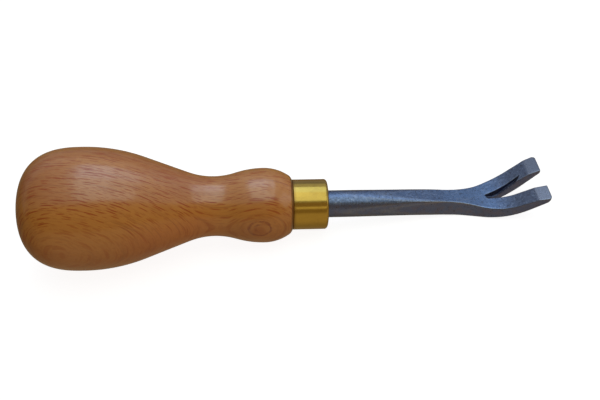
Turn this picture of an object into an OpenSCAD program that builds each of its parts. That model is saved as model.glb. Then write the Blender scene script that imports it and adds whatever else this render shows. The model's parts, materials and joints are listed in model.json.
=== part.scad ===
// Tack lifter: a turned beech handle, a drawn brass ferrule and a forged steel claw.
// The tool lies on a flat surface with the claw turned up. Z = 0 is that surface,
// +X points to the claw, and the origin is under the middle of the whole tool.
// Each piece is drawn first along its own axis, with X = 0 at the butt of the handle
// and the claw curling towards +Z, and is then laid down by as_it_lies().
// Millimetres.

/* [Handle] */
// Length from the butt to the shoulder that the ferrule stands against
handle_len = 98.3; // [96:0.1:101]
// Diameter of the pear-shaped bulge
bulge_dia = 44.8; // [42:0.2:46]
// Distance of the bulge's crest from the butt
bulge_at = 23.4; // [20:0.1:23.6]
// Radius of the outline in front of the crest
bulge_curve = 61; // [50:1:61]
// How full the butt is: 2 is an ellipse, more is squarer
butt_fullness = 2.7; // [2:0.05:3]
// Smallest diameter, at the neck
neck_dia = 21.9; // [21:0.1:23.5]
// Distance of the neck from the butt
neck_at = 69.7; // [69:0.1:71]
// Radius of the hollow at the neck
neck_curve = 26; // [18:1:27]
// Diameter of the bead in front of the neck
bead_dia = 27.5; // [26:0.1:29]
// Distance of the bead's crest from the butt
bead_at = 88; // [87:0.1:89]
// Diameter of the wood where the bead's front ends, behind the ferrule
shoulder_dia = 21.2; // [20.2:0.1:22]

/* [Ferrule] */
// Outside diameter
ferrule_dia = 18.5; // [17.5:0.1:19.5]
// Length
ferrule_len = 12.8; // [11:0.1:16]
// Thickness of the brass
ferrule_wall = 0.9; // [0.6:0.1:1.2]
// Outside radius where the wall turns in to the front face
ferrule_corner = 1.1; // [0.8:0.1:1.6]

/* [Shank] */
// Diameter of the round bar
bar_dia = 10; // [9.4:0.2:10.6]
// How far the bar stays fully round in front of the ferrule
round_len = 14; // [10:1:18]
// Length of round bar inside the handle
bar_sunk = 12; // [8:1:16]
// Length of the square tang behind it
tang_len = 44; // [30:1:55]
// Width of the tang where it starts
tang_root = 6.4; // [5:0.2:6.6]
// Width of the tang at its end
tang_end = 3; // [2:0.2:4]

/* [Claw] */
// Distance of the claw's tips from the ferrule
claw_reach = 79.9; // [78:0.2:84]
// Angle at which the prongs leave the shank
claw_lift = 33; // [28:1:36]
// Height of the top face above the axis where the claw starts to curl
heel_top = 2.35; // [1.8:0.05:2.8]
// Thickness of the tips
tip_edge = 0.9; // [0.5:0.1:1.4]
// Length of the bevel ground on top of the tips
bevel_len = 4.5; // [3:0.1:5]
// Angle of that bevel
bevel_lift = 19; // [16:1:24]
// Width at the narrowest place
waist_width = 6.6; // [6:0.1:6.8]
// Angle of the prongs' outer sides
flare = 12.5; // [10:0.5:14]
// Distance of the bottom of the V from the ferrule
slot_at = 60; // [58:0.1:62]
// How far the V was filed off the claw's centre line
slot_offset = -0.6; // [-1:0.1:1]
// Radius of the bottom of the V
slot_root_r = 0.8; // [0.7:0.1:1.2]
// Angle between the slot's centre line and each side
slot_angle = 9.6; // [8:0.2:11]
// Greatest depth of the groove filed into the +Y prong beside the slot
groove_depth = 2.1; // [1:0.1:2.4]
// Angle at which that groove leaves the claw's centre line
groove_angle = 18.3; // [16:0.1:20]

/* [Hidden] */

ARC_STEPS = 16;          // straight pieces in each curved part of an outline
TURNED_FN = 96;          // any value above 12 stays a true surface of revolution
FIT_GAP = 0.05;          // play between pieces that are pressed together
SHOULDER_STEP = 0.8;     // length of the turned step behind the ferrule
SHOULDER_LIP = 0.15;     // how far that step stands proud of the ferrule
BEYOND = 40;             // size of cutting shapes that reach past the work

HEEL_AT = 56.5;          // where the top face is lowest, from the ferrule
TOP_CURL = 24;           // radius of the claw's curl on top
UNDER_CURL = 38;         // radius of the curl underneath
UNDER_AT = 49.5;         // where the underneath would be lowest, from the ferrule
UNDER_Z = -3.65;         // height of that point
UNDER_END = 40;          // angle at which the curl underneath runs out
WAIST_AT = 43.4;         // where the shank is narrowest, from the ferrule
WAIST_CURVE = 37;        // radius of the sides as they start to spread
SPREAD_ANGLE = 23;       // steepest angle of the sides
SPREAD_CURVE = 73;       // radius of the sides as they straighten again
CORNER_R = 1.2;          // outside corners of the tips
TANG_IN = 1;             // how far the tang runs on into the round bar
SQUARE_FROM = 45;        // from here the forging lies within the round bar's outline
GROOVE_FROM = -0.7;      // where the groove starts, from the bottom of the V
GROOVE_LEN = 13.6;       // its length along the tool
GROOVE_Y = 1.16;         // how far its upper edge starts from the slot's centre line
GROOVE_FAR = 70;         // slope of its far side
GROOVE_NEAR = 40;        // slope of the side next to the slot
GROOVE_SHAPE = [         // share of the length, share of the depth
    [0, 0.01],
    [0.05, 0.43],
    [0.16, 0.76],
    [0.27, 0.98],
    [0.42, 1],
    [0.64, 0.71],
    [0.86, 0.64],
    [0.95, 0.33],
    [1, 0.01]
];

bulge_r = bulge_dia / 2;
neck_r = neck_dia / 2;
bead_r = bead_dia / 2;
bar_r = bar_dia / 2;
ferrule_r = ferrule_dia / 2;
spigot_r = ferrule_r - ferrule_wall - FIT_GAP;
spigot_len = ferrule_len - ferrule_wall - FIT_GAP;
face = handle_len + ferrule_len;
tip = face + claw_reach;

// ---- outlines -------------------------------------------------------------

// Points of an arc about c, with angles measured from straight up towards +X
function arc(c, r, from, to, steps = ARC_STEPS) = [
    for (i = [0:steps])
        let (a = from + (to - from) * i / steps)
        [c.x + r * sin(a), c.y + r * cos(a)]
];

// Slope angle of the line that leaves p and touches the underside of a circle
function touch_angle(p, c, r) = atan2(c.y - p.y, c.x - p.x) - asin(r / norm(c - p));

// The handle: butt, bulge, cone, neck, bead
butt = [
    for (i = [0:2 * ARC_STEPS])
        let (a = 90 * i / (2 * ARC_STEPS), k = 2 / butt_fullness)
        [bulge_at * (1 - pow(cos(a), k)), bulge_r * pow(sin(a), k)]
];
bulge_centre = [bulge_at, bulge_r - bulge_curve];
neck_centre = [neck_at, neck_r + neck_curve];
cone_angle = let (d = neck_centre - bulge_centre)
    atan2(d.x, d.y) - acos((bulge_curve + neck_curve) / norm(d));
bead_run = bead_at - neck_at;
bead_rise = bead_r - neck_r;
bead_back = (pow(bead_run, 2) + pow(bead_rise, 2)) / (2 * bead_rise) - neck_curve;
bead_angle = asin(bead_run / (neck_curve + bead_back));
nose_run = handle_len - SHOULDER_STEP - bead_at;
nose_drop = (bead_dia - shoulder_dia) / 2;
bead_nose = (pow(nose_run, 2) + pow(nose_drop, 2)) / (2 * nose_drop);
nose_angle = asin(nose_run / bead_nose);

handle_outline = concat(
    butt,
    arc(bulge_centre, bulge_curve, 1, cone_angle),
    arc(neck_centre, neck_curve, 180 + cone_angle, 180 - bead_angle),
    arc([bead_at, bead_r - bead_back], bead_back, -bead_angle, -1),
    arc([bead_at, bead_r - bead_nose], bead_nose, 0, nose_angle)
);

// The blade from the side
top_centre = [face + HEEL_AT, heel_top + TOP_CURL];
under_centre = [face + UNDER_AT, UNDER_Z + UNDER_CURL];
top_start = [face + round_len, bar_r];
under_start = [face + round_len, -bar_r];
top_slope = touch_angle(top_start, top_centre, TOP_CURL);
under_slope = touch_angle(under_start, under_centre, UNDER_CURL);
top_curl = arc(top_centre, TOP_CURL, 180 - top_slope, 180 - claw_lift);
under_curl = arc(under_centre, UNDER_CURL, 180 - under_slope, 180 - UNDER_END);
bevel_x = tip - bevel_len;
bevel_z = top_curl[ARC_STEPS].y + (bevel_x - top_curl[ARC_STEPS].x) * tan(claw_lift);
tip_z = bevel_z + bevel_len * tan(bevel_lift);
bar_from = face - bar_sunk;

function on_line(p, slope, x) = [x, p.y + (x - p.x) * tan(slope)];

side_outline = concat(
    [on_line(top_start, top_slope, bar_from)],
    top_curl,
    [[bevel_x, bevel_z], [tip, tip_z], [tip, tip_z - tip_edge]],
    [for (i = [ARC_STEPS:-1:0]) under_curl[i]],
    [on_line(under_start, under_slope, bar_from)]
);

// Height of the curled top face at a distance x from the butt
function top_z(x) = x > top_curl[ARC_STEPS].x
    ? top_curl[ARC_STEPS].y + (x - top_curl[ARC_STEPS].x) * tan(claw_lift)
    : top_centre.y - sqrt(pow(TOP_CURL, 2) - pow(x - top_centre.x, 2));

// The blade from above: one edge, then its mirror image
waist_centre = [face + WAIST_AT, waist_width / 2 + WAIST_CURVE];
side_slope = touch_angle(top_start, waist_centre, WAIST_CURVE);
waist_edge = arc(waist_centre, WAIST_CURVE, 180 - side_slope, 180 - SPREAD_ANGLE);
spread_from = waist_edge[ARC_STEPS];
spread_centre = spread_from + SPREAD_CURVE * [sin(SPREAD_ANGLE), -cos(SPREAD_ANGLE)];
spread_edge = arc(spread_centre, SPREAD_CURVE, -SPREAD_ANGLE + 0.5, -flare);
spread_to = spread_edge[ARC_STEPS];
corner_y = spread_to.y + (tip - CORNER_R - spread_to.x) * tan(flare) - CORNER_R / cos(flare);
one_edge = concat(
    [on_line(top_start, side_slope, bar_from)],
    waist_edge,
    spread_edge,
    arc([tip - CORNER_R, corner_y], CORNER_R, -flare, 90)
);
plan_outline = concat(
    one_edge,
    [for (i = [len(one_edge) - 1:-1:0]) [one_edge[i].x, -one_edge[i].y]]
);

// ---- how the tool lies ----------------------------------------------------

// It rests on the bulge and on the underside of the claw, so the surface is the common
// tangent below two circles: the bulge's outline and the curl underneath the claw.
bulge_below = [bulge_at, bulge_curve - bulge_r];
nose_down = let (d = under_centre - bulge_below)
    atan2(d.y, d.x) + asin((bulge_curve - UNDER_CURL) / norm(d));
lift = bulge_curve + bulge_below.x * sin(nose_down) - bulge_below.y * cos(nose_down);
back_x = min([for (p = handle_outline) p.x * cos(nose_down) - p.y * sin(nose_down)]);
front_x = tip * cos(nose_down) + tip_z * sin(nose_down);

module as_it_lies() {
    translate([-(back_x + front_x) / 2, 0, lift])
        rotate([0, nose_down, 0])
            children();
}

// Turns an outline of [distance from the butt, radius] about the tool's axis
module turned(outline) {
    rotate([0, 90, 0])
        rotate_extrude($fn = TURNED_FN)
            polygon([for (p = outline) [p.y, p.x]]);
}

// A square bar along the axis that narrows evenly from width a to width b
module tapered_square(from, to, a, b) {
    outline = [[from, b / 2], [to, a / 2], [to, -a / 2], [from, -b / 2]];
    intersection() {
        linear_extrude(a + 1, center = true)
            polygon(outline);
        rotate([90, 0, 0])
            linear_extrude(a + 1, center = true)
                polygon(outline);
    }
}

module round_bar(from, to, r) {
    translate([from, 0, 0])
        rotate([0, 90, 0])
            cylinder(h = to - from, r = r, $fn = TURNED_FN);
}

// ---- handle ---------------------------------------------------------------

// The hole that takes the blade: bored for the bar, burnt out square for the tang
module socket() {
    tang_from = bar_from - tang_len;
    round_bar(bar_from - FIT_GAP, face, bar_r + FIT_GAP);
    tapered_square(
        tang_from - 2 * FIT_GAP,
        bar_from + FIT_GAP,
        tang_root + 2 * FIT_GAP,
        tang_end + 2 * FIT_GAP
    );
}

module handle() {
    spigot_end = handle_len + spigot_len;
    color("peru")
        as_it_lies()
            difference() {
                turned(concat(
                    handle_outline,
                    [
                        [handle_len, ferrule_r + SHOULDER_LIP],
                        [handle_len, spigot_r],
                        [spigot_end, spigot_r],
                        [spigot_end, 0]
                    ]
                ));
                socket();
            }
}

// ---- ferrule --------------------------------------------------------------

// A drawn cup: its front is closed round the bar
module ferrule() {
    inner_r = ferrule_r - ferrule_wall;
    back = handle_len + FIT_GAP;
    color("goldenrod")
        as_it_lies()
            turned(concat(
                [[back, inner_r], [back, ferrule_r]],
                arc([face - ferrule_corner, ferrule_r - ferrule_corner], ferrule_corner, 0, 90, 8),
                [
                    [face, bar_r + FIT_GAP],
                    [face - ferrule_wall, bar_r + FIT_GAP],
                    [face - ferrule_wall, inner_r]
                ]
            ));
}

// ---- blade ----------------------------------------------------------------

// The V that grips under a tack's head
module slot() {
    root_x = face + slot_at + slot_root_r;
    mouth_x = tip + 1;
    mouth_y = slot_root_r / cos(slot_angle) + (mouth_x - root_x) * tan(slot_angle);
    root_y = slot_root_r * cos(slot_angle);
    side_x = root_x - slot_root_r * sin(slot_angle);
    linear_extrude(2 * BEYOND, center = true) {
        translate([root_x, 0])
            circle(slot_root_r, $fn = TURNED_FN);
        polygon([[side_x, -root_y], [mouth_x, -mouth_y], [mouth_x, mouth_y], [side_x, root_y]]);
    }
}

// The metal filed away beside the slot: a triangle swept along the prong's top face
module groove() {
    steps = len(GROOVE_SHAPE) - 1;
    sections = [
        for (g = GROOVE_SHAPE)
            let (
                run = g[0] * GROOVE_LEN,
                x = face + slot_at + GROOVE_FROM + run,
                z = top_z(x),
                depth = g[1] * groove_depth,
                rim_y = GROOVE_Y + run * tan(groove_angle),
                bottom_y = rim_y - depth / tan(GROOVE_FAR)
            )
            [
                [x, bottom_y, z - depth],
                [x, bottom_y + (depth + 1) / tan(GROOVE_FAR), z + 1],
                [x, bottom_y - (depth + 1) / tan(GROOVE_NEAR), z + 1]
            ]
    ];
    last = 3 * steps;
    polyhedron(
        points = [for (s = sections) each s],
        faces = concat(
            [[0, 1, 2], [last + 2, last + 1, last]],
            [
                for (i = [0:steps - 1])
                    for (k = [0:2])
                        let (a = 3 * i + k, b = 3 * i + (k + 1) % 3)
                        each [[a, a + 3, b], [b, a + 3, b + 3]]
            ]
        )
    );
}

module forging() {
    square_from = face + SQUARE_FROM;
    intersection() {
        rotate([90, 0, 0])
            linear_extrude(2 * BEYOND, center = true)
                polygon(side_outline);
        linear_extrude(2 * BEYOND, center = true)
            polygon(plan_outline);
        union() {
            round_bar(bar_from, square_from, bar_r);
            translate([square_from, -BEYOND / 2, -BEYOND / 2])
                cube([tip + 1 - square_from, BEYOND, BEYOND]);
        }
    }
}

module blade() {
    color("slategray")
        as_it_lies()
            union() {
                difference() {
                    forging();
                    translate([0, slot_offset, 0]) {
                        slot();
                        groove();
                    }
                }
                tapered_square(bar_from - tang_len, bar_from + TANG_IN, tang_root, tang_end);
            }
}

handle();
ferrule();
blade();
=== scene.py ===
import json
import math

import bpy
import numpy as np
from mathutils import Matrix, Vector


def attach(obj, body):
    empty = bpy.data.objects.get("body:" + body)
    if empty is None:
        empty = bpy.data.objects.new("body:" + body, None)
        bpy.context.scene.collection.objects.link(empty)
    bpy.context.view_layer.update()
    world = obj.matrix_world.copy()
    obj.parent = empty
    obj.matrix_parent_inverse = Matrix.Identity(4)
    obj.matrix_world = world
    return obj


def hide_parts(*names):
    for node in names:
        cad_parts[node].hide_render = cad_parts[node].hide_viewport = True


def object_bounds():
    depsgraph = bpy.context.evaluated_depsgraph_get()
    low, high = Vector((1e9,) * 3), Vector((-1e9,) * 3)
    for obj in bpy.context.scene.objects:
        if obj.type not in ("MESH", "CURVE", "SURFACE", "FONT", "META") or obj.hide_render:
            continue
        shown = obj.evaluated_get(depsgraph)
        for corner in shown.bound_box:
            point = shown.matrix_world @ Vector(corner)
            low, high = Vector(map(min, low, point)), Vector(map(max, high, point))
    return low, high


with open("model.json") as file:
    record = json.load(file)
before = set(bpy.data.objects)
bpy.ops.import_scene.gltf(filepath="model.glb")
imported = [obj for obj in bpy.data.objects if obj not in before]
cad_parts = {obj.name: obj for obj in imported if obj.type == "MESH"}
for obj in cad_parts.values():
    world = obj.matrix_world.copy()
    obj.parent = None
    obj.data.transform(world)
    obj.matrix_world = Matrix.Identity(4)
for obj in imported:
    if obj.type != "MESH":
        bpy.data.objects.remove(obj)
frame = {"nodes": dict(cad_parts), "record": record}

# The looks of a tack lifter: turned beech handle, drawn brass ferrule, forged steel claw.
# The CAD gives where the tool lies, its axis, and the outlines of the turned pieces.
# Shapes are worked out in "tool" millimetres: X runs along the tool's own axis from the
# butt of the handle, Y is the row's Y, and the claw curls towards Z. Lights, floor and
# camera are in the row's metres. Colours are linear.

CAD_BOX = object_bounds()
MM = 0.001


# ---- the tool's own axis, from the CAD ------------------------------------

def ferrule_mount():
    for mount in frame["record"]["mounts"]:
        if mount["name"] == "ferrule_seat":
            return mount
    raise ValueError("the record has no mount named ferrule_seat")


def node_points(name):
    mesh = frame["nodes"][name].data
    flat = np.empty(len(mesh.vertices) * 3, np.float32)
    mesh.vertices.foreach_get("co", flat)
    return flat.reshape(-1, 3).astype(float)


AXIS = Vector(ferrule_mount()["axis"]).normalized()
NOSE_DOWN = math.atan2(-AXIS.z, AXIS.x)
TURN = np.array(Matrix.Rotation(NOSE_DOWN, 3, "Y"))
SEAT = np.array(ferrule_mount()["pos_m"])
BUTT = SEAT + TURN[:, 0] * ((node_points("handle") - SEAT) @ TURN[:, 0]).min()


def to_tool(points):
    return (points - BUTT) @ TURN / MM


def to_row(points):
    return BUTT + points @ TURN.T * MM


def rings(name):
    """The turned node's vertices as (distance along the axis, radius), without repeats."""
    p = to_tool(node_points(name))
    pairs = np.stack([p[:, 0], np.hypot(p[:, 1], p[:, 2])], 1)
    return np.unique(pairs.round(3), axis=0)


FERRULE = rings("ferrule")
FACE = FERRULE[:, 0].max()
SHOULDER = FERRULE[:, 0].min()
FERRULE_R = FERRULE[:, 1].max()

# The blade's round bar, and what the handle and the ferrule hide.
BAR_R = 5.0
BAR_HOLE_R = BAR_R + 0.05
BAR_SUNK = 12.0            # round bar behind the ferrule's face
TANG_LEN = 44.0            # square tang behind that
TANG_HALF = (3.2, 1.5)     # half the tang's width at the bar and at its end
TANG_HOLE_R = (4.6, 2.3)   # radius of the hole for it at the same places


# ---- meshes ---------------------------------------------------------------

def in_scene(name, data):
    obj = bpy.data.objects.new(name, data)
    bpy.context.scene.collection.objects.link(obj)
    return obj


def new_mesh(name, points, faces, attributes=None):
    """A smooth-shaded mesh object from points in tool millimetres."""
    mesh = bpy.data.meshes.new(name)
    mesh.from_pydata(to_row(points).tolist(), [], faces)
    mesh.validate()
    for key, values in (attributes or {}).items():
        layer = mesh.attributes.new(key, "FLOAT", "POINT")
        layer.data.foreach_set("value", np.asarray(values, np.float32))
    mesh.polygons.foreach_set("use_smooth", [True] * len(mesh.polygons))
    return in_scene(name, mesh)


def lathe(name, outline, around=160):
    """Turns an outline of (x, radius) about the axis. One that starts at radius 0 has to
    end there too. Any other is closed from its last point to its first."""
    on_axis = 1e-6
    points, rows = [], []
    turn = np.arange(around) * 2 * math.pi / around
    for x, r in outline:
        if r < on_axis:
            rows.append([len(points)] * around)
            points.append((x, 0.0, 0.0))
        else:
            rows.append(list(range(len(points), len(points) + around)))
            points += [(x, r * math.cos(a), r * math.sin(a)) for a in turn]
    faces = []
    closed = outline[0][1] > on_axis
    for i in range(len(rows) if closed else len(rows) - 1):
        a, b = rows[i], rows[(i + 1) % len(rows)]
        for k in range(around):
            n = (k + 1) % around
            corners = [a[k], a[n], b[n], b[k]]
            face = [c for j, c in enumerate(corners) if c != corners[j - 1]]
            if len(face) > 2:
                faces.append(face)
    return new_mesh(name, np.array(points), faces)


def resample(outline, step):
    """Points at even steps along an open outline."""
    outline = np.asarray(outline, float)
    run = np.r_[0, np.cumsum(np.hypot(*np.diff(outline, axis=0).T))]
    at = np.linspace(0, run[-1], 2 * math.ceil(run[-1] / step / 2) + 1)
    return np.stack([np.interp(at, run, outline[:, k]) for k in (0, 1)], 1)


def smoothed(outline, step, reach):
    """Evenly spaced outline, with corners softened over about reach. The ends stay put."""
    line = resample(outline, step)
    n = int(4 * reach / step)
    head = 2 * line[0] - line[n:0:-1]
    tail = 2 * line[-1] - line[-2:-n - 2:-1]
    padded = np.concatenate([head, line, tail])
    weight = np.exp(-0.5 * (np.arange(-n, n + 1) * step / reach) ** 2)
    weight /= weight.sum()
    return np.stack([np.convolve(padded[:, k], weight, "valid") for k in (0, 1)], 1)


def thin(line, step):
    """Drops points that are closer together than step."""
    kept = [line[0]]
    for p in line[1:]:
        if np.hypot(*(p - kept[-1])) >= step:
            kept.append(p)
    return np.array(kept)


def arc(cx, cy, r, start, end, steps):
    """Points of an arc, with angles in degrees measured from straight up towards +X."""
    return [
        (cx + r * math.sin(math.radians(a)), cy + r * math.cos(math.radians(a)))
        for a in np.linspace(start, end, steps)
    ]


# ---- handle ---------------------------------------------------------------

def outer_outline(pairs):
    """The largest radius at each distance, in order along the axis."""
    xs = np.unique(pairs[:, 0])
    return np.array([(x, pairs[pairs[:, 0] == x, 1].max()) for x in xs])


def handle_outline():
    """The wood from the butt to its shoulder, the spigot that fills the ferrule, and back
    along the holes for the bar and the tang."""
    pairs = rings("handle")
    outside = (pairs[:, 1] > FERRULE_R) | (pairs[:, 0] < 2) | (pairs[:, 0] > SHOULDER)
    outer = outer_outline(pairs[outside])
    wood = outer[outer[:, 0] < SHOULDER - 0.2]
    wood[0, 1] = 0.0
    spigot_end, spigot_r = outer[outer[:, 0] > SHOULDER + 0.5].max(0)

    # The mirror image beyond the axis keeps the butt round.
    mirrored = np.concatenate([(wood * (1, -1))[:0:-1], wood])
    body = smoothed(mirrored, step=0.12, reach=0.9)
    body = body[len(body) // 2:]
    body[0, 1] = 0.0
    body = body[body[:, 0] < wood[-2, 0]]
    shoulder = smoothed([
        wood[-2],
        wood[-1],
        (SHOULDER - 0.12, FERRULE_R + 0.16),
        (SHOULDER + 0.02, FERRULE_R - 0.35),
    ], step=0.06, reach=0.16)

    bar_end = FACE - BAR_SUNK
    tang_end = bar_end - TANG_LEN
    inside = [
        (SHOULDER + 0.02, spigot_r),
        (spigot_end, spigot_r),
        (spigot_end, BAR_HOLE_R),
        (bar_end, BAR_HOLE_R),
        (bar_end - 0.2, TANG_HOLE_R[0]),
        (tang_end - 0.2, TANG_HOLE_R[1]),
        (tang_end - 0.3, 0.0),
    ]
    return np.concatenate([thin(body, 0.42), thin(shoulder, 0.12), inside])


# ---- ferrule --------------------------------------------------------------

def ferrule_outline():
    """A cup: its outside from the wood to the face, the edge of the bar's hole, and back
    along the inside."""
    wall, corner, lip, hole_edge = 0.9, 1.1, 0.2, 0.15
    inner_r = FERRULE_R - wall
    outline = arc(SHOULDER + lip, FERRULE_R - lip, lip, -90, 0, 5)
    outline += [(x, FERRULE_R) for x in np.linspace(SHOULDER + 0.5, FACE - corner - 0.3, 24)]
    outline += arc(FACE - corner, FERRULE_R - corner, corner, 0, 82, 10)
    outline += [(FACE, r) for r in np.linspace(FERRULE_R - corner - 0.1, BAR_HOLE_R + 0.4, 6)]
    outline += arc(FACE - hole_edge, BAR_HOLE_R + hole_edge, hole_edge, 90, 180, 5)
    outline += [(FACE - wall, BAR_HOLE_R), (FACE - wall, inner_r), (SHOULDER, inner_r)]
    return outline


# ---- blade: its shape as a field that is negative inside the steel --------
# Sizes are in mm, and distances along the blade are measured from the ferrule's face.

REACH = 79.9                     # to the claw's tips
ROUND_LEN = 14.0                 # round bar in front of the ferrule
CLAW_FROM, CLAW_OVER = 40.0, 25.0   # where the shank starts to become the claw, over how far

# The top, the underside and the half width each bend round a circle. These are the place
# where the bend is lowest or narrowest, its radius, and the slope that it ends in.
TOP_LOW, TOP_CURL, TOP_LIFT = (56.5, 2.35), 24.0, math.radians(33)
UNDER_LOW, UNDER_CURL, UNDER_LIFT = (49.5, -3.65), 38.0, math.radians(40)
WAIST, WAIST_CURVE, SPREAD = (43.4, 3.3), 37.0, math.radians(23)
SPREAD_CURVE, FLARE = 73.0, math.radians(12.5)    # the prongs bend back to this slope
FULLER, FULLER_AT, FULLER_REACH = 0.2, 42.0, 7.0  # extra half width at the waist

# Unevenness of the flat faces: where they start, what the shank adds, what the claw adds.
UNEVEN_START, UNEVEN_SHANK, UNEVEN_CLAW = 0.01, 0.02, 0.03

SLOT_Y = -0.6
SLOT_ROOT = (60.8, 0.8)          # centre and radius of the bottom of the V
SLOT_ANGLE = math.radians(9.6)
SLOT_DRAFT = 0.10                # how far each side leans out for each mm of height
BEVEL_LEN, BEVEL_SLOPE = 4.5, math.radians(19)

# The groove filed beside the slot: its depth along the blade, where its bottom starts and
# how it drifts sideways, and the slopes of its two sides.
GROOVE_AT = [59.3, 60.0, 61.5, 63.0, 65.0, 68.0, 71.0, 72.2, 72.9, 74.0]
GROOVE_DEPTH = [0.0, 0.9, 1.6, 2.05, 2.1, 1.5, 1.34, 0.7, 0.0, -1.0]
GROOVE_Y, GROOVE_DRIFT = 0.56, 0.33
GROOVE_FAR, GROOVE_NEAR = math.radians(70), math.radians(40)

# The round bar's corners are drawn down slowly, then left to the flat faces.
BAR_EASE_AT = [10.0, 24.0, 32.0, 37.0, 41.0, 44.0, 48.0, 80.0]
BAR_EASE = [0.01, 0.13, 0.17, 0.14, 0.04, -0.12, -0.8, -60.0]

# Radii of the edges, and how much less the first two are on the claw.
TOP_EDGE_R, TOP_EDGE_LESS = 0.42, 0.12
UNDER_EDGE_R, UNDER_EDGE_LESS = 0.55, 0.2
TIP_CORNER_R = 1.7
BEVEL_EDGE_R = 0.15
BAR_EDGE_R = 0.5
SLOT_EDGE_R = 0.25
GROOVE_EDGE_R = 0.12
TANG_EDGE_R = 0.4


def tangent_slope(px, py, cx, cy, r):
    """Slope of the line from (px, py) that touches the underside of a circle."""
    return math.atan2(cy - py, cx - px) - math.asin(r / math.hypot(cx - px, cy - py))


def curl(x, start, lowest, radius, end_slope):
    """A straight line from start, the underside of a circle whose lowest place is given,
    and a straight line at end_slope. Returns the height at x and the slope's cosine."""
    sx, sy = start
    cx, cy = lowest[0], lowest[1] + radius
    first = tangent_slope(sx, sy, cx, cy, radius)
    x0 = cx + radius * math.sin(first)
    x1 = cx + radius * math.sin(end_slope)
    y1 = cy - radius * math.cos(end_slope)
    cosine = np.sqrt(1 - np.clip((x - cx) / radius, -1, 1) ** 2)
    height = cy - radius * cosine
    height = np.where(x < x0, sy + (x - sx) * math.tan(first), height)
    cosine = np.where(x < x0, math.cos(first), cosine)
    height = np.where(x > x1, y1 + (x - x1) * math.tan(end_slope), height)
    cosine = np.where(x > x1, math.cos(end_slope), cosine)
    return height, cosine


def top_face(x):
    return curl(x, (ROUND_LEN, BAR_R), TOP_LOW, TOP_CURL, TOP_LIFT)


def under_face(x):
    return curl(x, (ROUND_LEN, -BAR_R), UNDER_LOW, UNDER_CURL, UNDER_LIFT)


def side_face(x):
    """Half width of the blade from above: it narrows to a waist, spreads, and bends back
    to the prongs' own slope."""
    width, cosine = curl(x, (ROUND_LEN, BAR_R), WAIST, WAIST_CURVE, SPREAD)
    width = width + FULLER * np.exp(-((x - FULLER_AT) / FULLER_REACH) ** 2)
    x0 = WAIST[0] + WAIST_CURVE * math.sin(SPREAD)
    y0 = WAIST[1] + WAIST_CURVE * (1 - math.cos(SPREAD))
    cx = x0 + SPREAD_CURVE * math.sin(SPREAD)
    cy = y0 - SPREAD_CURVE * math.cos(SPREAD)
    x1 = cx - SPREAD_CURVE * math.sin(FLARE)
    y1 = cy + SPREAD_CURVE * math.cos(FLARE)
    arc_cosine = np.sqrt(1 - np.clip((x - cx) / SPREAD_CURVE, -1, 1) ** 2)
    width = np.where(x > x0, cy + SPREAD_CURVE * arc_cosine, width)
    cosine = np.where(x > x0, arc_cosine, cosine)
    width = np.where(x > x1, y1 + (x - x1) * math.tan(FLARE), width)
    cosine = np.where(x > x1, math.cos(FLARE), cosine)
    return width, cosine


def both(a, b, r):
    """Inside both a and b, with the edge between them rounded to radius r."""
    corner = np.hypot(np.maximum(a + r, 0), np.maximum(b + r, 0))
    return np.minimum(np.maximum(a, b), -r) + corner


def slot_field(x, y, z):
    """Distance from the V slot, positive outside it."""
    root_x, root_r = SLOT_ROOT
    above_floor = np.clip(z - under_face(x)[0], 0, 5)
    opening = np.clip((x - root_x) / 8, 0, 1)
    across = np.abs(y - SLOT_Y) - SLOT_DRAFT * above_floor * opening
    c, s = math.cos(SLOT_ANGLE), math.sin(SLOT_ANGLE)
    dx, dy = x - (root_x - root_r * s), across - root_r * c
    beyond = dx * c + dy * s
    return np.where(beyond < 0, np.hypot(x - root_x, across) - root_r, dy * c - dx * s)


def groove_field(x, y, z):
    """Distance from the groove filed beside the slot, positive outside it."""
    depth = np.interp(x, GROOVE_AT, GROOVE_DEPTH)
    bottom_z = top_face(x)[0] - depth
    bottom_y = GROOVE_Y + GROOVE_DRIFT * (x - GROOVE_AT[0]) - depth / math.tan(GROOVE_FAR)
    dy, dz = y - bottom_y, z - bottom_z
    far_side = dy * math.sin(GROOVE_FAR) - dz * math.cos(GROOVE_FAR)
    near_side = -dy * math.sin(GROOVE_NEAR) - dz * math.cos(GROOVE_NEAR)
    return np.maximum(far_side, near_side)


def bevel_field(x, z):
    """The bevel ground on top of the tips. It cuts nothing far behind them."""
    start = REACH - BEVEL_LEN
    height = top_face(np.array(start))[0]
    above = (z - height - (x - start) * math.tan(BEVEL_SLOPE)) * math.cos(BEVEL_SLOPE)
    return np.where(x > start - 9, above, -9.0)


def waves(x, y, z, seed):
    """Smooth unevenness between 0 and 1, as hammering and filing leave."""
    total = 0
    for k, length in enumerate((23.0, 13.0, 8.5, 5.7)):
        a = seed + 2.4 * k
        run = x * math.cos(a) * 0.9 + y * math.sin(a) + z * math.cos(1.7 * a)
        total = total + np.sin(run * 2 * math.pi / length + a * a) / (k + 1.6)
    return 0.5 + total / 4.4


def tang_field(x, y, z):
    """The square tang, thinner towards its end. It starts 0.5 mm inside the bar."""
    at_bar, at_end = TANG_HALF
    half = at_bar + (x + BAR_SUNK) / TANG_LEN * (at_bar - at_end)
    square = both(np.abs(y) - half, np.abs(z) - half, TANG_EDGE_R)
    return np.maximum(square, np.maximum(x + BAR_SUNK - 0.5, -BAR_SUNK - TANG_LEN - x))


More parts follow.
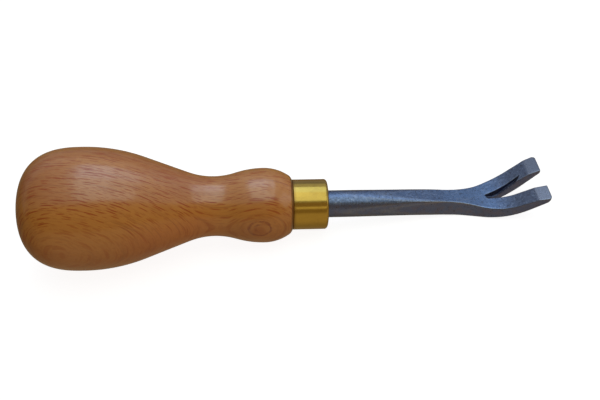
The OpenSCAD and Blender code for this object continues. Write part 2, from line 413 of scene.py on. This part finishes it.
def blade_field(x, y, z):
    top, top_cos = top_face(x)
    under, under_cos = under_face(x)
    side, side_cos = side_face(x)
    along = np.clip((x - ROUND_LEN) / 20, 0, 1)
    claw = np.clip((x - CLAW_FROM) / CLAW_OVER, 0, 1)
    uneven = UNEVEN_START + UNEVEN_SHANK * along + UNEVEN_CLAW * claw
    f_side = (np.abs(y) - side) * side_cos + uneven * waves(x, y, z, 1.0)
    f_top = (z - top) * top_cos + uneven * waves(x, y, z, 2.2)
    f_under = (under - z) * under_cos + uneven * waves(x, y, z, 3.1)
    f_bar = np.hypot(y, z) - BAR_R + np.interp(x, BAR_EASE_AT, BAR_EASE)
    face = both(f_top, bevel_field(x, z), BEVEL_EDGE_R)
    body = both(f_side, x - REACH, TIP_CORNER_R)
    body = both(body, face, TOP_EDGE_R - TOP_EDGE_LESS * claw)
    body = both(body, f_under, UNDER_EDGE_R - UNDER_EDGE_LESS * claw)
    body = both(body, f_bar, BAR_EDGE_R)
    body = both(body, -slot_field(x, y, z), SLOT_EDGE_R)
    body = both(body, -groove_field(x, y, z), GROOVE_EDGE_R)
    body = np.maximum(body, -BAR_SUNK - x)
    return np.minimum(body, tang_field(x, y, z))


def surface_net(field, grids):
    """Points and quads of the surface where the field is zero. Each cell of the grid
    that the surface crosses gets one point, and each grid line it crosses gets a quad."""
    f = field(*np.meshgrid(*grids, indexing="ij"))
    cells = tuple(len(g) - 1 for g in grids)
    total = np.zeros((int(np.prod(cells)), 3))
    count = np.zeros(int(np.prod(cells)))
    quads = []
    for axis in range(3):
        u, v = (axis + 1) % 3, (axis + 2) % 3
        low = np.take(f, range(f.shape[axis] - 1), axis)
        high = np.take(f, range(1, f.shape[axis]), axis)
        at = np.argwhere((low < 0) != (high < 0))
        a, b = low[tuple(at.T)], high[tuple(at.T)]
        where = np.stack([grids[k][at[:, k]] for k in range(3)], 1)
        where[:, axis] += a / (a - b) * (grids[axis][at[:, axis] + 1] - where[:, axis])
        around = []
        for du, dv in ((1, 1), (0, 1), (0, 0), (1, 0)):
            cell = at.copy()
            cell[:, u] -= du
            cell[:, v] -= dv
            index = np.ravel_multi_index(tuple(cell.T), cells)
            np.add.at(total, index, where)
            np.add.at(count, index, 1)
            around.append(index)
        quad = np.stack(around, 1)
        quads.append(np.where((a < 0)[:, None], quad, quad[:, ::-1]))
    used = np.flatnonzero(count)
    number = np.full(len(count), -1)
    number[used] = np.arange(len(used))
    return total[used] / count[used, None], number[np.concatenate(quads)]


def gradient(field, p, h=0.02):
    steps = np.eye(3) * h
    return np.stack([(field(*(p + s).T) - field(*(p - s).T)) / (2 * h) for s in steps], 1)


def settled(field, p, rounds=4, most=0.15):
    """Moves points onto the surface, no further than most in a round."""
    for _ in range(rounds):
        g = gradient(field, p)
        size = np.maximum((g * g).sum(1), 0.05)
        move = g * (field(*p.T) / size)[:, None]
        length = np.maximum(np.linalg.norm(move, axis=1), 1e-9)
        p = p - move * np.minimum(1, most / length)[:, None]
    return p


def edge_share(field, p, h=0.22, full=0.75):
    """How much of an outward edge a point is on, from 0 on a flat face to 1 where the
    field bends by full or more."""
    bend = -6 * field(*p.T)
    for s in np.eye(3) * h:
        bend = bend + field(*(p + s).T) + field(*(p - s).T)
    return np.clip(bend / h / full, 0, 1)


def groove_share(p, reach=0.12):
    """How much of the groove's surface a point is on, from 0 to 1."""
    x, y, _ = p.T
    within = (x > GROOVE_AT[0] - 0.1) & (x < GROOVE_AT[-2] + 0.3) & (y > SLOT_Y)
    return np.clip(1 - np.abs(groove_field(*p.T)) / reach, 0, 1) * within


def build_blade():
    """The blade's mesh. The grid is coarse in the wood and finest on the claw."""
    xs = np.concatenate([
        np.arange(-BAR_SUNK - TANG_LEN - 1.5, -BAR_SUNK - 1, 1.0),
        np.arange(-BAR_SUNK - 1, -0.5, 0.5),
        np.arange(-0.5, CLAW_FROM + 4, 0.4),
        np.arange(CLAW_FROM + 4, REACH + 0.6, 0.25),
    ])
    xs = xs[np.r_[True, np.diff(xs) > 0.05]]
    cad = to_tool(node_points("blade"))
    low, high = cad.min(0) - 0.6, cad.max(0) + 0.8
    ys, zs = (np.arange(low[k], high[k], 0.26) for k in (1, 2))
    points, quads = surface_net(blade_field, [xs, ys, zs])
    points = settled(blade_field, points)
    attributes = {"edge": edge_share(blade_field, points), "groove": groove_share(points)}
    return new_mesh("blade_forging", points + (FACE, 0, 0), quads.tolist(), attributes)


# ---- materials ------------------------------------------------------------

class Nodes:
    """A node tree, with short calls for the nodes used here."""

    def __init__(self, tree):
        self.tree = tree
        self.tree.nodes.clear()

    def node(self, kind, inputs=(), **settings):
        made = self.tree.nodes.new(kind)
        for key, value in settings.items():
            setattr(made, key, value)
        for key, value in dict(inputs).items():
            self.put(made.inputs[key], value)
        return made

    def put(self, socket, value):
        if isinstance(value, bpy.types.NodeSocket):
            self.tree.links.new(value, socket)
        else:
            socket.default_value = value

    def math(self, operation, a, b=0.0, c=0.0, clamp=False):
        made = self.node("ShaderNodeMath", {0: a, 1: b, 2: c}, operation=operation, use_clamp=clamp)
        return made.outputs[0]

    def times(self, value, *factors):
        for factor in factors:
            value = self.math("MULTIPLY", value, factor)
        return value

    def vector(self, operation, a, b=(0, 0, 0), output="Vector"):
        return self.node("ShaderNodeVectorMath", {0: a, 1: b}, operation=operation).outputs[output]

    def split(self, vector):
        return self.node("ShaderNodeSeparateXYZ", {0: vector}).outputs

    def join(self, x, y, z):
        return self.node("ShaderNodeCombineXYZ", {0: x, 1: y, 2: z}).outputs[0]

    def turned(self, vector, rotation=(0, 0, 0), scale=(1, 1, 1), shift=(0, 0, 0)):
        return self.node(
            "ShaderNodeMapping",
            {"Vector": vector, "Rotation": rotation, "Scale": scale, "Location": shift},
        ).outputs[0]

    def noise(self, vector, scale, detail=2.0, roughness=0.5):
        """Noise of about 0 to 1. A scale for each axis stretches it."""
        if isinstance(scale, tuple):
            vector, scale = self.turned(vector, scale=scale), 1.0
        return self.node("ShaderNodeTexNoise", {
            "Vector": vector, "Scale": scale, "Detail": detail, "Roughness": roughness,
        }).outputs["Fac"]

    def ramp(self, value, low, high, to_low=0.0, to_high=1.0):
        """A smooth step from to_low at low to to_high at high."""
        return self.node("ShaderNodeMapRange", {
            "Value": value, "From Min": low, "From Max": high, "To Min": to_low, "To Max": to_high,
        }, interpolation_type="SMOOTHSTEP").outputs[0]

    def mix(self, factor, a, b, blend="MIX"):
        """a where the factor is 0, and b blended over it where it is 1."""
        made = self.node("ShaderNodeMix", {0: factor}, data_type="RGBA", blend_type=blend)
        for socket, colour in ((made.inputs[6], a), (made.inputs[7], b)):
            self.put(socket, (*colour, 1) if isinstance(colour, tuple) else colour)
        return made.outputs[2]


class Paint(Nodes):
    """A material's nodes. Its tool is where a point is in tool millimetres."""

    def __init__(self, name):
        self.material = bpy.data.materials.new(name)
        self.material.use_nodes = True
        super().__init__(self.material.node_tree)
        self.shader = self.node("ShaderNodeBsdfPrincipled")
        self.node("ShaderNodeOutputMaterial", {"Surface": self.shader.outputs[0]})
        place = self.node("ShaderNodeTexCoord").outputs["Object"]
        self.tool = self.node("ShaderNodeMapping", {
            "Vector": place,
            "Location": tuple(BUTT),
            "Rotation": (0, NOSE_DOWN, 0),
            "Scale": (MM, MM, MM),
        }, vector_type="TEXTURE").outputs[0]

    def attribute(self, name):
        return self.node("ShaderNodeAttribute", attribute_name=name).outputs["Fac"]

    def facing(self, direction):
        """How squarely the surface faces a direction of the row, from -1 to 1."""
        normal = self.node("ShaderNodeNewGeometry").outputs["Normal"]
        return self.vector("DOT_PRODUCT", normal, tuple(direction), "Value")

    def bump(self, height, distance_mm):
        return self.node("ShaderNodeBump", {"Height": height, "Distance": distance_mm * MM}).outputs[0]

    def surface(self, **values):
        """Sets the shader's inputs, which are named here with _ for each space."""
        for key, value in values.items():
            self.put(self.shader.inputs[key.replace("_", " ")], value)


# How the beech's rays and its grain lie in the tool.
RAYS_LEAN, RAYS_SKEW = math.radians(-3), math.radians(3)
GRAIN_WANDER = 2.4         # mm from one side to the other
GRAIN_CURVE = -0.00055     # mm aside, for each squared mm away from the bead
BEAD_AT = 88.0             # mm from the butt

# The rays, fine to long: the cell that may hold one, and half the size of the ray, both in
# mm along the grain, across the rays and along them; a seed; about what share of the cells
# hold one; and how strongly it shows.
RAYS = (
    ((2.4, 0.45, 5.0), (1.1, 0.11, 2.5), 5.3, 0.80, 0.55),
    ((4.6, 0.75, 9.0), (1.9, 0.17, 4.5), 8.7, 0.80, 0.80),
    ((8.0, 1.05, 14.0), (3.4, 0.20, 7.0), 3.1, 0.85, 0.95),
)
RAY_COLOUR = (0.430, 0.080, 0.001)

# The eye on the bead: its middle, in mm from the butt and above the axis, and half its
# sizes. Each of its rings has a size, a width, a strength, and how far towards the
# ferrule it goes, in shares of the eye. 9 leaves a ring whole.
EYE_AT, EYE_HALF = (86.0, 0.9), (4.3, 3.4)
EYE_RINGS = (
    (0.95, 0.20, 0.95, 9.0),
    (0.45, 0.20, 0.80, 0.15),
    (1.50, 0.16, 0.25, 9.0),
)


def flecks(paint, grain, cell, half, seed, present):
    """Rays of one size: thin lens shapes, at most one in each cell."""
    shift = (seed, seed * 1.7, seed * 0.3)
    scaled = paint.turned(grain, scale=tuple(1 / c for c in cell), shift=shift)
    cells = paint.node("ShaderNodeTexVoronoi", {"Vector": scaled, "Scale": 1.0}).outputs
    offset = paint.vector("SUBTRACT", scaled, cells["Position"])
    stretch = tuple(c / h for c, h in zip(cell, half))
    reach = paint.vector("LENGTH", paint.vector("MULTIPLY", offset, stretch), output="Value")
    chance = paint.split(cells["Color"])[0]
    return paint.times(paint.ramp(reach, 1.0, 0.65), paint.ramp(chance, 1 - present, 1.15 - present))


def bead_eye(paint):
    """The oval rings where the bead cuts the rays flat, on its side towards -Y."""
    x, y, z = paint.split(paint.tool)
    across = paint.math("DIVIDE", paint.math("SUBTRACT", x, EYE_AT[0]), EYE_HALF[0])
    upward = paint.math("DIVIDE", paint.math("SUBTRACT", z, EYE_AT[1]), EYE_HALF[1])
    blur = paint.math("MULTIPLY_ADD", paint.noise(paint.tool, 0.35), 0.5, -0.25)
    away = paint.vector("LENGTH", paint.join(across, upward, 0.0), output="Value")
    away = paint.math("ADD", away, blur)
    rings = 0.0
    for size, width, strength, end in EYE_RINGS:
        off = paint.math("ABSOLUTE", paint.math("SUBTRACT", away, size))
        line = paint.ramp(off, width, 0.03, 0.0, strength)
        ring = paint.times(line, paint.ramp(across, end, end - 0.4))
        rings = paint.math("ADD", ring, rings)
    broken = paint.ramp(paint.noise(paint.tool, 0.6), 0.35, 0.6, 0.35, 1.0)
    near_side = paint.ramp(y, -8.0, -11.0)
    return paint.math("MULTIPLY", paint.times(rings, broken), near_side, clamp=True)


def grain_space(paint):
    """Where a point is along the grain, across the rays and along them."""
    grain = paint.turned(paint.tool, rotation=(RAYS_LEAN, 0, RAYS_SKEW))
    x, y, z = paint.split(grain)
    wander = paint.noise(grain, (0.045, 0.05, 0.04))
    y = paint.math("ADD", y, paint.math("MULTIPLY_ADD", wander, GRAIN_WANDER, -GRAIN_WANDER / 2))
    from_bead = paint.math("SUBTRACT", x, BEAD_AT)
    y = paint.math("MULTIPLY_ADD", paint.times(from_bead, from_bead), GRAIN_CURVE, y)
    return paint.join(x, y, z)


def facing_rays(paint):
    """1 where the surface lies along the sheets of rays, and 0 where it cuts them."""
    level = math.cos(RAYS_SKEW)
    across = (math.sin(RAYS_SKEW), level * math.cos(RAYS_LEAN), -level * math.sin(RAYS_LEAN))
    return paint.math("ABSOLUTE", paint.facing(TURN @ across))


def lower_cone(paint):
    """The lower half of the cone between the bulge and the neck, where it is redder."""
    x, _, z = paint.split(paint.tool)
    return paint.times(paint.ramp(x, 32.0, 50.0), paint.ramp(x, 76.0, 62.0), paint.ramp(z, 10.0, 1.0))


def beech():
    """Lacquered beech. Its rays are upright sheets that hold the grain, so they are cut
    edge-on above, and lie flat towards -Y, where they make arcs and an eye on the bead."""
    paint = Paint("lacquered_beech")
    grain = grain_space(paint)
    flat = facing_rays(paint)
    edge_on = paint.ramp(flat, 0.70, 0.98, 1.0, 0.35)
    sheet_share = paint.ramp(flat, 0.90, 0.99, 1.0, 0.55)
    patch = paint.noise(grain, (0.022, 0.06, 0.06), 3.0)
    sheets = paint.noise(grain, (0.045, 1.5, 0.05), 3.0, 0.6)
    fibre = paint.noise(grain, (0.16, 4.0, 0.8), 3.0, 0.6)
    pores = paint.noise(grain, (0.7, 9.0, 9.0))

    colour = paint.mix(paint.ramp(patch, 0.3, 0.7), (0.562, 0.190, 0.023), (0.680, 0.272, 0.038))
    dark_sheets = paint.times(paint.ramp(sheets, 0.50, 0.72, 0.0, 0.42), sheet_share)
    colour = paint.mix(dark_sheets, colour, (0.350, 0.085, 0.004))
    pale_sheets = paint.times(paint.ramp(sheets, 0.44, 0.28, 0.0, 0.25), sheet_share)
    colour = paint.mix(pale_sheets, colour, (0.650, 0.270, 0.035))
    colour = paint.mix(paint.ramp(fibre, 0.45, 0.75, 0.0, 0.25), colour, (0.350, 0.095, 0.006))
    colour = paint.mix(paint.ramp(pores, 0.58, 0.78, 0.0, 0.20), colour, (0.260, 0.075, 0.005))
    colour = paint.mix(bead_eye(paint), colour, (0.350, 0.078, 0.003))
    colour = paint.mix(lower_cone(paint), colour, (0.97, 0.78, 0.55), "MULTIPLY")
    marks = 0.0
    for cell, half, seed, present, strength in RAYS:
        rays = flecks(paint, grain, cell, half, seed, present)
        share = paint.times(rays, strength, edge_on)
        colour = paint.mix(share, colour, RAY_COLOUR)
        marks = paint.math("MAXIMUM", share, marks)
    long_rays = rays
    # The dark ring at the shoulder: end grain that takes more lacquer, and painted shade of the gap next
    # to the ferrule.
    end_grain_and_gap_shade = paint.ramp(paint.split(paint.tool)[0], SHOULDER - 1.05, SHOULDER - 0.75)
    colour = paint.mix(paint.times(end_grain_and_gap_shade, 0.8), colour, (0.110, 0.030, 0.006))

    # The lacquer sinks into the open rays and fibres, so it shines less there.
    sunk = paint.math("MULTIPLY_ADD", marks, 0.62, paint.ramp(fibre, 0.45, 0.75, 0.0, 0.15))
    height = paint.math("MULTIPLY_ADD", pores, -0.6, paint.times(long_rays, -0.25))
    ripple = paint.noise(paint.tool, (0.5, 0.12, 0.12))
    paint.surface(
        Base_Color=colour,
        Roughness=paint.ramp(paint.noise(paint.tool, 0.35, 3.0), 0.3, 0.7, 0.40, 0.52),
        Normal=paint.bump(height, 0.02),
        Coat_Weight=paint.math("SUBTRACT", 1.0, sunk),
        Coat_Roughness=0.17,
        Coat_IOR=1.85,
        Coat_Normal=paint.bump(ripple, 0.02),
    )
    return paint.material


def brass():
    """Drawn and turned brass, a little darker at the face, and darker next to the wood, partly from
    tarnish and partly from painted shade and a painted reflection of the wood.
    """
    paint = Paint("drawn_brass")
    x, y, z = paint.split(paint.tool)
    around = paint.math("ARCTAN2", y, z)
    lathe_lines = paint.noise(paint.join(paint.times(x, 7.0), around, 0.0), 1.0, 3.0, 0.65)
    drawn_lines = paint.noise(paint.join(paint.times(x, 0.30), paint.times(around, 7.0), 2.0), 1.0, 3.0)
    cloud = paint.noise(paint.tool, 0.22, 3.0, 0.6)
    specks = paint.noise(paint.tool, 2.6, 2.0, 0.6)
    # Next to the wood the brass is painted darker: partly tarnish, partly painted shade and a painted
    # reflection of the dark wood.
    tarnish_and_shade_at_wood = paint.times(paint.ramp(x, SHOULDER + 1.2, SHOULDER), 0.6)
    at_face = paint.times(paint.ramp(x, FACE - 1.2, FACE), 0.2)
    tarnish_and_shade = paint.math("ADD", tarnish_and_shade_at_wood, at_face)
    tarnish_and_shade = paint.math("ADD", tarnish_and_shade, paint.ramp(cloud, 0.48, 0.8, 0.0, 0.25), clamp=True)

    colour = paint.mix(drawn_lines, (0.63, 0.425, 0.058), (0.71, 0.490, 0.080))
    colour = paint.mix(paint.ramp(specks, 0.55, 0.75, 0.0, 0.30), colour, (0.50, 0.320, 0.050))
    # Tarnish, with the painted shade and reflection next to the wood.
    colour = paint.mix(tarnish_and_shade, colour, (0.34, 0.185, 0.030))
    rough = paint.ramp(lathe_lines, 0.3, 0.7, 0.13, 0.20)
    height = paint.math("ADD", lathe_lines, paint.times(specks, 0.5))
    paint.surface(
        Base_Color=colour,
        Metallic=1.0,
        Roughness=paint.math("ADD", rough, paint.times(tarnish_and_shade, 0.12)),
        Normal=paint.bump(height, 0.0025),
        Coat_Weight=0.5,
        Coat_Roughness=0.12,
        Coat_IOR=1.7,
    )
    return paint.material


def scaled_steel(paint, x, tilt, scale_marks):
    """The colour of the blued forging scale. It is bluer on the claw's flat and greyer on the prongs.
    Where the steel faces sideways or down it is painted bluer, with violet patches: painted light that
    makes the warm room light there come out grey."""
    cloud = paint.noise(paint.tool, 0.16, 4.0, 0.6)
    specks = paint.noise(paint.tool, 1.0, 4.0, 0.7)
    on_claw = paint.times(paint.ramp(x, FACE + 40, FACE + 48), paint.ramp(x, FACE + 66, FACE + 58), 0.65)
    on_prongs = paint.times(paint.ramp(x, FACE + 61, FACE + 72), 0.65)
    painted_light_facing_down = paint.ramp(tilt, 0.72, 0.50)
    violet = paint.ramp(paint.noise(paint.tool, 0.45, 3.0), 0.45, 0.65, 0.0, 0.60)
    colour = paint.mix(paint.ramp(cloud, 0.3, 0.7), (0.140, 0.210, 0.365), (0.200, 0.290, 0.475))
    colour = paint.mix(on_claw, colour, (0.200, 0.335, 0.590))
    colour = paint.mix(on_prongs, colour, (0.155, 0.178, 0.235))
    colour = paint.mix(paint.ramp(scale_marks, 0.5, 0.75, 0.0, 0.45), colour, (0.125, 0.155, 0.215))
    colour = paint.mix(paint.ramp(specks, 0.52, 0.68, 0.0, 0.70), colour, (0.330, 0.420, 0.580))
    colour = paint.mix(paint.ramp(specks, 0.47, 0.32, 0.0, 0.65), colour, (0.095, 0.105, 0.130))
    # Painted light: the sides facing sideways or down are painted bluer, so the warm room light on them
    # comes out grey.
    colour = paint.mix(paint.times(painted_light_facing_down, 0.75), colour, (0.164, 0.214, 0.500))
    return paint.mix(paint.times(violet, painted_light_facing_down), colour, (0.212, 0.226, 0.400))


def steel():
    """Blued forging steel: scale, pits, worn edges, a fresh ground bevel, painted shade in the groove
    and on the far prong's bevel, and painted light where it faces down.
    """
    paint = Paint("blued_forged_steel")
    x, y, _ = paint.split(paint.tool)
    tilt = paint.facing(TURN[:, 2])
    scale_marks = paint.noise(paint.tool, (0.6, 1.0, 1.0), 4.0, 0.65)
    grain = paint.noise(paint.tool, 1.8, 4.0, 0.7)
    pits = paint.node("ShaderNodeTexVoronoi", {"Vector": paint.tool, "Scale": 0.8}).outputs
    pit = paint.ramp(pits["Distance"], 0.26, 0.08)
    worn = paint.times(
        paint.attribute("edge"),
        paint.ramp(scale_marks, 0.25, 0.6, 0.30, 1.0),
        paint.ramp(x, FACE + 50, FACE + 62, 1.0, 0.30),
    )
    bevel_at = FACE + REACH - BEVEL_LEN
    ground = paint.times(paint.ramp(x, bevel_at - 0.1, bevel_at + 0.1), paint.ramp(tilt, 0.5, 0.75))
    across_bevel = paint.turned(paint.tool, rotation=(0, 0, math.radians(8)), scale=(6.0, 0.35, 0.35))
    lines = paint.noise(across_bevel, 1.0, 3.0)
    fresh = paint.mix(lines, (0.27, 0.31, 0.40), (0.36, 0.41, 0.51))
    # Painted shade: the bevel on the far prong is painted darker than on the near one.
    painted_shade_far_prong = paint.ramp(y, 1.0, 5.0, 0.0, 0.60)
    fresh = paint.mix(painted_shade_far_prong, fresh, (0.175, 0.200, 0.260))

    colour = scaled_steel(paint, x, tilt, scale_marks)
    colour = paint.mix(paint.times(pit, 0.55), colour, (0.070, 0.065, 0.062))
    colour = paint.mix(paint.times(worn, 0.75), colour, (0.42, 0.47, 0.54))
    colour = paint.mix(paint.times(ground, 0.9), colour, fresh)
    # Painted shade: the groove filed beside the slot is painted a dark blue-black.
    colour = paint.mix(paint.times(paint.attribute("groove"), 0.85), colour, (0.055, 0.070, 0.120))
    rough = paint.ramp(grain, 0.35, 0.65, 0.26, 0.46)
    height = paint.math("ADD", paint.times(grain, 0.5), paint.times(pit, -0.8))
    height = paint.math("ADD", height, paint.times(lines, ground, 0.6))
    paint.surface(
        Base_Color=colour,
        Metallic=1.0,
        Roughness=paint.math("ADD", rough, paint.times(worn, -0.08)),
        Normal=paint.bump(height, 0.05),
    )
    return paint.material


# ---- lights, floor and camera ---------------------------------------------

WARM, COOL = (0.98, 1.03, 0.93), (0.86, 1.05, 1.28)

# The panels of the window over the table: x and y ranges, height, radiance and colour.
WINDOW = {
    "window_low": ((-0.10, 0.43), (-0.40, -0.14), 0.62, 0.65, WARM),
    "window_high": ((-0.10, 0.15), (-0.141, 0.10), 0.62, 0.35, WARM),
    "window_high_wide": ((-0.10, 0.40), (-0.141, 0.10), 0.622, 0.52, WARM),
    "window_far": ((-0.10, 0.15), (0.099, 0.47), 0.62, 0.30, COOL),
    "window_far_wide": ((-0.10, 0.40), (0.099, 0.49), 0.622, 0.66, COOL),
}

# The room's colour by the angle round the X axis, in degrees up from -Y.
ROOM = (
    (-180, (0.20, 0.145, 0.08)),
    (-70, (0.24, 0.18, 0.10)),
    (-40, (0.37, 0.275, 0.16)),
    (-3, (0.37, 0.275, 0.16)),
    (3, (0.22, 0.150, 0.075)),
    (48, (0.22, 0.150, 0.075)),
    (54, (0.28, 0.28, 0.28)),
    (128, (0.32, 0.33, 0.36)),
    (134, (0.42, 0.43, 0.47)),
    (148, (0.42, 0.43, 0.47)),
    (154, (0.20, 0.20, 0.26)),
    (178, (0.24, 0.22, 0.22)),
)


def panel(name, centre, size, radiance, colour, target=None):
    """A rectangle of light. It is level and faces down unless it has a target."""
    light = bpy.data.lights.new(name, "AREA")
    light.shape = "RECTANGLE"
    light.size, light.size_y = size
    light.energy = radiance * math.pi * size[0] * size[1]
    light.color = colour
    obj = in_scene(name, light)
    obj.location = centre
    if target:
        obj.rotation_euler = (Vector(centre) - Vector(target)).to_track_quat("Z", "Y").to_euler()
    return obj


def overhead(name, x_range, y_range, height, radiance, colour):
    """A level panel that covers the ranges."""
    size = (x_range[1] - x_range[0], y_range[1] - y_range[0])
    centre = (sum(x_range) / 2, sum(y_range) / 2, height)
    return panel(name, centre, size, radiance, colour)


def only_for(light, piece):
    """Keeps a light for one piece alone."""
    receivers = bpy.data.collections.new(light.name + "_receivers")
    receivers.objects.link(bpy.data.objects[piece])
    light.light_linking.receiver_collection = receivers


def room_light():
    """Soft light from all round, dimmer from the side of the butt."""
    world = bpy.data.worlds.new("soft_room")
    bpy.context.scene.world = world
    world.use_nodes = True
    nodes = Nodes(world.node_tree)
    x, y, z = nodes.split(nodes.node("ShaderNodeTexCoord").outputs["Generated"])
    angle = nodes.math("ARCTAN2", z, nodes.times(y, -1.0))
    share = nodes.math("MULTIPLY_ADD", angle, 0.5 / math.pi, 0.5)
    room = nodes.node("ShaderNodeValToRGB", {"Fac": share})
    stops = room.color_ramp.elements
    stops.remove(stops[-1])
    for i, (degrees, colour) in enumerate(ROOM):
        at = degrees / 360 + 0.5
        stop = stops[0] if i == 0 else stops.new(at)
        stop.position = at
        stop.color = (*colour, 1)
    strength = nodes.node("ShaderNodeMapRange", {
        "Value": x, "From Min": -0.95, "From Max": -0.35, "To Min": 0.35, "To Max": 1.0,
    }).outputs[0]
    light = nodes.node("ShaderNodeBackground", {"Strength": strength, "Color": room.outputs[0]})
    nodes.node("ShaderNodeOutputWorld", {"Surface": light.outputs[0]})


def studio():
    for name, place in WINDOW.items():
        overhead(name, *place)
    soft = overhead("soft_overhead", (-0.25, 0.9), (-0.5, 0.6), 0.9, 0.30, (1.0, 0.97, 0.93))
    soft.visible_glossy = False
    strip = panel(
        "ferrule_strip", (0.03, -0.40, 0.20), (0.9, 0.075), 0.32, (1.0, 0.92, 0.6),
        target=(0.03, 0, 0.02),
    )
    only_for(strip, "ferrule_cup")
    panel("side_fill", (1.0, -0.25, 0.45), (0.7, 0.6), 0.4, (1.0, 0.98, 0.95), target=(0, 0, 0))
    room_light()


def floor():
    """A pale floor that gives off its own light and throws none on the tool."""
    half = 8.0
    z = CAD_BOX[0][2]
    corners = [(-half, -half, z), (half, -half, z), (half, half, z), (-half, half, z)]
    mesh = bpy.data.meshes.new("floor")
    mesh.from_pydata(corners, [], [(0, 1, 2, 3)])
    obj = in_scene("floor", mesh)
    material = bpy.data.materials.new("pale_floor")
    material.use_nodes = True
    shader = material.node_tree.nodes["Principled BSDF"]
    shader.inputs["Base Color"].default_value = (0.32, 0.32, 0.32, 1)
    shader.inputs["Roughness"].default_value = 0.9
    shader.inputs["Emission Color"].default_value = (1, 1, 1, 1)
    shader.inputs["Emission Strength"].default_value = 0.91
    mesh.materials.append(material)
    obj.visible_glossy = False
    obj.visible_diffuse = False
    obj.visible_shadow = False


def camera():
    """The photograph's viewing angle: from in front and above, a little rolled."""
    azimuth, elevation, roll = (math.radians(a) for a in (0.8, 42.382, -7.481))
    distance = 0.310
    aim = Vector((0.005375, 0.001685, 0.012745))
    out = Vector((
        math.cos(elevation) * math.sin(azimuth),
        -math.cos(elevation) * math.cos(azimuth),
        math.sin(elevation),
    ))
    level = Vector((0, 0, 1)).cross(out).normalized()
    up = out.cross(level)
    right = level * math.cos(roll) + up * math.sin(roll)
    over = out.cross(right)
    data = bpy.data.cameras.new("camera")
    data.sensor_width = 36.0
    data.lens = 50.18
    data.clip_start = 0.01
    obj = in_scene("camera", data)
    matrix = Matrix((right, over, out)).transposed().to_4x4()
    matrix.translation = aim + out * distance
    obj.matrix_world = matrix
    bpy.context.scene.camera = obj


# ---- the pieces -----------------------------------------------------------

def add(piece, node, material):
    piece.data.materials.append(material)
    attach(piece, "root")
    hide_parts(node)


camera()
add(lathe("handle_turned", handle_outline()), "handle", beech())
add(lathe("ferrule_cup", ferrule_outline()), "ferrule", brass())
add(build_blade(), "blade", steel())
floor()
studio()
bpy.context.scene.view_settings.view_transform = "Standard"
